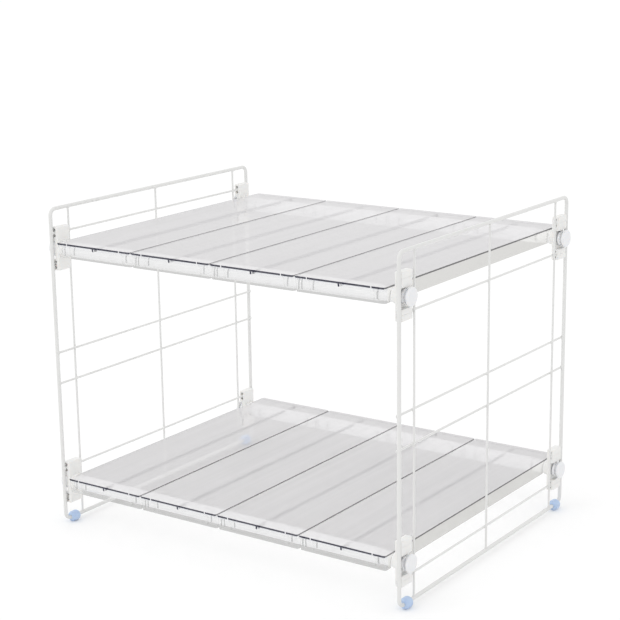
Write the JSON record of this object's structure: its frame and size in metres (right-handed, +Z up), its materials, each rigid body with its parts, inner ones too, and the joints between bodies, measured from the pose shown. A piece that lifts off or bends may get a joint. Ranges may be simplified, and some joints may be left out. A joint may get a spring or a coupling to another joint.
{
  "type": "under sink organizer",
  "caption": "Free-standing tiered under-sink rack with wire side frames, knob-clamped telescopic poles and clear lift-off shelf panels.",
  "frame": {"origin": "middle of the rack's footprint on the floor, at its narrowest width", "axes": "+X to the right along the poles, +Y to the back, +Z up"},
  "size_m": [0.4936, 0.3952, 0.3913],
  "materials": {
    "white_wire": "white powder coat",
    "white_tube": "white powder coat",
    "bracket_plastic": "moulded, slightly warm white",
    "knob_plastic": "moulded, satin white",
    "clear_panel": "clear polished",
    "foot_vinyl": "translucent pale blue",
    "zinc_steel": "zinc plated",
    "insert_brass": "turned",
    "plug_plastic": "moulded"
  },
  "bodies": {
    "left_side": {"bracket_left_back_lower": "bracket_plastic", "bracket_left_back_upper": "bracket_plastic", "bracket_left_front_lower": "bracket_plastic", "bracket_left_front_upper": "bracket_plastic", "clamp_washers_left": "zinc_steel", "foot_left_back": "foot_vinyl", "foot_left_front": "foot_vinyl", "outer_tube_back_lower": "white_tube", "outer_tube_back_upper": "white_tube", "outer_tube_front_lower": "white_tube", "outer_tube_front_upper": "white_tube", "side_crossbars_left": "white_wire", "side_loop_left": "white_wire", "side_uprights_left": "white_wire", "threaded_inserts_left": "insert_brass", "tube_plugs_left": "plug_plastic"},
    "right_side": {"bracket_right_back_lower": "bracket_plastic", "bracket_right_back_upper": "bracket_plastic", "bracket_right_front_lower": "bracket_plastic", "bracket_right_front_upper": "bracket_plastic", "clamp_washers_right": "zinc_steel", "foot_right_back": "foot_vinyl", "foot_right_front": "foot_vinyl", "inner_tube_back_lower": "white_tube", "inner_tube_back_upper": "white_tube", "inner_tube_front_lower": "white_tube", "inner_tube_front_upper": "white_tube", "side_crossbars_right": "white_wire", "side_loop_right": "white_wire", "side_uprights_right": "white_wire", "threaded_inserts_right": "insert_brass", "tube_plugs_right": "plug_plastic"},
    "screw_left_front_lower": {"knob_left_front_lower": "knob_plastic", "stud_left_front_lower": "zinc_steel"},
    "screw_left_front_upper": {"knob_left_front_upper": "knob_plastic", "stud_left_front_upper": "zinc_steel"},
    "screw_left_back_lower": {"knob_left_back_lower": "knob_plastic", "stud_left_back_lower": "zinc_steel"},
    "screw_left_back_upper": {"knob_left_back_upper": "knob_plastic", "stud_left_back_upper": "zinc_steel"},
    "screw_right_front_lower": {"knob_right_front_lower": "knob_plastic", "stud_right_front_lower": "zinc_steel"},
    "screw_right_front_upper": {"knob_right_front_upper": "knob_plastic", "stud_right_front_upper": "zinc_steel"},
    "screw_right_back_lower": {"knob_right_back_lower": "knob_plastic", "stud_right_back_lower": "zinc_steel"},
    "screw_right_back_upper": {"knob_right_back_upper": "knob_plastic", "stud_right_back_upper": "zinc_steel"},
    "lift_panel_lower_1": {"panel_lower_1": "clear_panel"},
    "lift_panel_lower_2": {"panel_lower_2": "clear_panel"},
    "lift_panel_lower_3": {"panel_lower_3": "clear_panel"},
    "lift_panel_lower_4": {"panel_lower_4": "clear_panel"},
    "lift_panel_upper_1": {"panel_upper_1": "clear_panel"},
    "lift_panel_upper_2": {"panel_upper_2": "clear_panel"},
    "lift_panel_upper_3": {"panel_upper_3": "clear_panel"},
    "lift_panel_upper_4": {"panel_upper_4": "clear_panel"}
  },
  "joints": [
    {"name": "width_extension", "type": "slide", "parent": "left_side", "child": "right_side", "axis": [1, 0, 0], "range_m": [0, 0.25]},
    {"name": "turn_knob_left_front_lower", "type": "hinge", "parent": "left_side", "child": "screw_left_front_lower", "pos_m": [-0.2413, -0.176, 0.0523], "axis": [-1, 0, 0], "continuous": true},
    {"name": "turn_knob_left_front_upper", "type": "hinge", "parent": "left_side", "child": "screw_left_front_upper", "pos_m": [-0.2413, -0.176, 0.3413], "axis": [-1, 0, 0], "continuous": true},
    {"name": "turn_knob_left_back_lower", "type": "hinge", "parent": "left_side", "child": "screw_left_back_lower", "pos_m": [-0.2413, 0.176, 0.0523], "axis": [-1, 0, 0], "continuous": true},
    {"name": "turn_knob_left_back_upper", "type": "hinge", "parent": "left_side", "child": "screw_left_back_upper", "pos_m": [-0.2413, 0.176, 0.3413], "axis": [-1, 0, 0], "continuous": true},
    {"name": "turn_knob_right_front_lower", "type": "hinge", "parent": "right_side", "child": "screw_right_front_lower", "pos_m": [0.2413, -0.176, 0.0523], "axis": [1, 0, 0], "continuous": true},
    {"name": "turn_knob_right_front_upper", "type": "hinge", "parent": "right_side", "child": "screw_right_front_upper", "pos_m": [0.2413, -0.176, 0.3413], "axis": [1, 0, 0], "continuous": true},
    {"name": "turn_knob_right_back_lower", "type": "hinge", "parent": "right_side", "child": "screw_right_back_lower", "pos_m": [0.2413, 0.176, 0.0523], "axis": [1, 0, 0], "continuous": true},
    {"name": "turn_knob_right_back_upper", "type": "hinge", "parent": "right_side", "child": "screw_right_back_upper", "pos_m": [0.2413, 0.176, 0.3413], "axis": [1, 0, 0], "continuous": true},
    {"name": "lift_off_panel_lower_1", "type": "slide", "parent": "left_side", "child": "lift_panel_lower_1", "axis": [0, 0, 1], "range_m": [0, 0.06]},
    {"name": "lift_off_panel_lower_2", "type": "slide", "parent": "left_side", "child": "lift_panel_lower_2", "axis": [0, 0, 1], "range_m": [0, 0.06]},
    {"name": "lift_off_panel_lower_3", "type": "slide", "parent": "left_side", "child": "lift_panel_lower_3", "axis": [0, 0, 1], "range_m": [0, 0.06]},
    {"name": "lift_off_panel_lower_4", "type": "slide", "parent": "left_side", "child": "lift_panel_lower_4", "axis": [0, 0, 1], "range_m": [0, 0.06]},
    {"name": "lift_off_panel_upper_1", "type": "slide", "parent": "left_side", "child": "lift_panel_upper_1", "axis": [0, 0, 1], "range_m": [0, 0.06]},
    {"name": "lift_off_panel_upper_2", "type": "slide", "parent": "left_side", "child": "lift_panel_upper_2", "axis": [0, 0, 1], "range_m": [0, 0.06]},
    {"name": "lift_off_panel_upper_3", "type": "slide", "parent": "left_side", "child": "lift_panel_upper_3", "axis": [0, 0, 1], "range_m": [0, 0.06]},
    {"name": "lift_off_panel_upper_4", "type": "slide", "parent": "left_side", "child": "lift_panel_upper_4", "axis": [0, 0, 1], "range_m": [0, 0.06]}
  ]
}
